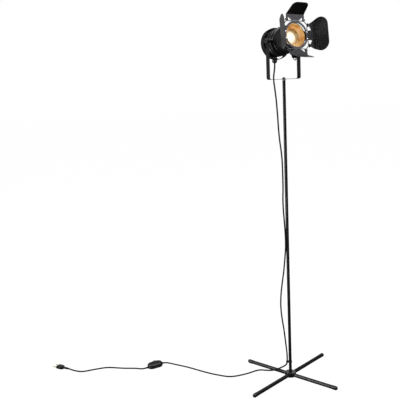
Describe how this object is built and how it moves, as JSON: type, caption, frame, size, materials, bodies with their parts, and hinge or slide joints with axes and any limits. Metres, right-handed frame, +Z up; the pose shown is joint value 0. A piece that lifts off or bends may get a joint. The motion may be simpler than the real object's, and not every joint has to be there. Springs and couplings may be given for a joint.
{
  "type": "floor lamp",
  "caption": "Studio-style spot floor lamp: barn doors on a tilting can, U yoke, slim pole, low cross base, free cord with foot switch.",
  "frame": {"origin": "on the floor under the axis of the pole", "axes": "+Z up along the pole, +X to the viewer's right and +Y away from the viewer in the lamp's front view; the cord runs out to -X"},
  "size_m": [1.1806, 0.3837, 1.4603],
  "materials": {
    "black_paint": "satin black powder coat",
    "zinc_steel": "zinc plated",
    "gold_reflector": "satin gold anodised",
    "nylon": "matt",
    "black_plastic": "fine moulded texture",
    "ceramic": "glazed",
    "bulb_body": "warm reflector coating",
    "lamp_glass": "frosted glass, lit",
    "terminal_plastic": "matt",
    "wire_cover": "smooth insulation",
    "cord_rubber": "satin round cord",
    "brass": "nickelled brass"
  },
  "bodies": {
    "stand": {"hub": "black_paint", "hub_bolt": "zinc_steel", "leg_back_right": "black_paint", "leg_front_right": "black_paint", "leg_front_left": "black_paint", "leg_back_left": "black_paint", "leg_inserts": "zinc_steel", "leg_studs": "zinc_steel", "foot_caps": "black_plastic", "pole_lower": "black_paint", "pole_middle": "black_paint", "pole_upper": "black_paint", "pole_foot_plug": "zinc_steel", "pole_couplers": "zinc_steel", "pole_top_plug": "zinc_steel", "friction_washer": "nylon", "swivel_washer": "zinc_steel", "swivel_screw": "black_paint", "cable_clip": "black_plastic", "cord_hang": "cord_rubber", "cord_floor": "cord_rubber", "cord_tail": "cord_rubber", "switch_base": "black_plastic", "switch_top": "black_plastic", "switch_spring": "zinc_steel", "switch_reliefs": "black_plastic", "plug_body": "black_plastic", "plug_relief": "black_plastic", "plug_pins": "brass"},
    "yoke": {"yoke": "black_paint", "cord_drop": "cord_rubber"},
    "head": {"body_shell": "black_paint", "rear_cap": "black_paint", "cap_screws": "zinc_steel", "gold_liner": "gold_reflector", "lamp_cup": "gold_reflector", "lampholder": "ceramic", "holder_bracket": "zinc_steel", "bulb": "bulb_body", "bulb_lens": "lamp_glass", "bulb_pins": "zinc_steel", "terminal_block": "terminal_plastic", "inner_wires": "wire_cover", "pivot_bosses": "black_paint", "pivot_washers": "black_plastic", "pivot_studs": "zinc_steel", "gland": "black_plastic", "gland_nut": "zinc_steel", "door_frame": "black_paint", "frame_brackets": "gold_reflector", "frame_screws": "zinc_steel", "hinge_pins": "zinc_steel"},
    "knob_left": {"knob_left": "black_plastic"},
    "knob_right": {"knob_right": "black_plastic"},
    "door_top": {"door_top": "black_paint"},
    "door_left": {"door_left": "black_paint"},
    "door_bottom": {"door_bottom": "black_paint", "door_eye": "black_paint"},
    "door_right": {"door_right": "black_paint"},
    "switch_button": {"switch_button": "black_plastic"}
  },
  "joints": [
    {"name": "yoke_swivel", "type": "hinge", "parent": "stand", "child": "yoke", "pos_m": [0, 0, 1.19], "axis": [0, 0, 1], "range_deg": [-150, 150], "deforming": ["cord_hang"]},
    {"name": "head_tilt", "type": "hinge", "parent": "yoke", "child": "head", "pos_m": [0, 0, 1.33505], "axis": [-0.8829, -0.4695, 0], "range_deg": [-40, 55], "deforming": ["cord_drop"]},
    {"name": "knob_left_turn", "type": "hinge", "parent": "head", "child": "knob_left", "pos_m": [-0.0671, -0.03568, 1.33505], "axis": [-0.8829, -0.4695, 0], "range_deg": [0, 180]},
    {"name": "knob_right_turn", "type": "hinge", "parent": "head", "child": "knob_right", "pos_m": [0.0671, 0.03568, 1.33505], "axis": [0.8829, 0.4695, 0], "range_deg": [0, 180]},
    {"name": "door_top_hinge", "type": "hinge", "parent": "head", "child": "door_top", "pos_m": [0.03652, -0.06423, 1.40263], "axis": [-0.8853, -0.4635, 0.0379], "range_deg": [-45, 25]},
    {"name": "door_left_hinge", "type": "hinge", "parent": "head", "child": "door_left", "pos_m": [-0.00935, -0.09841, 1.35098], "axis": [0.0435, -0.1636, -0.9856], "range_deg": [-45, 25]},
    {"name": "door_bottom_hinge", "type": "hinge", "parent": "head", "child": "door_bottom", "pos_m": [0.04127, -0.08207, 1.2952], "axis": [0.8853, 0.4635, -0.0379], "range_deg": [-45, 25]},
    {"name": "door_right_hinge", "type": "hinge", "parent": "head", "child": "door_right", "pos_m": [0.08714, -0.04789, 1.34685], "axis": [-0.0435, 0.1636, 0.9856], "range_deg": [-45, 25]},
    {"name": "switch_press", "type": "slide", "parent": "stand", "child": "switch_button", "axis": [0, 0, -1], "range_m": [0, 0.003], "stiffness_N_per_m": 400, "springref_m": -0.002}
  ]
}
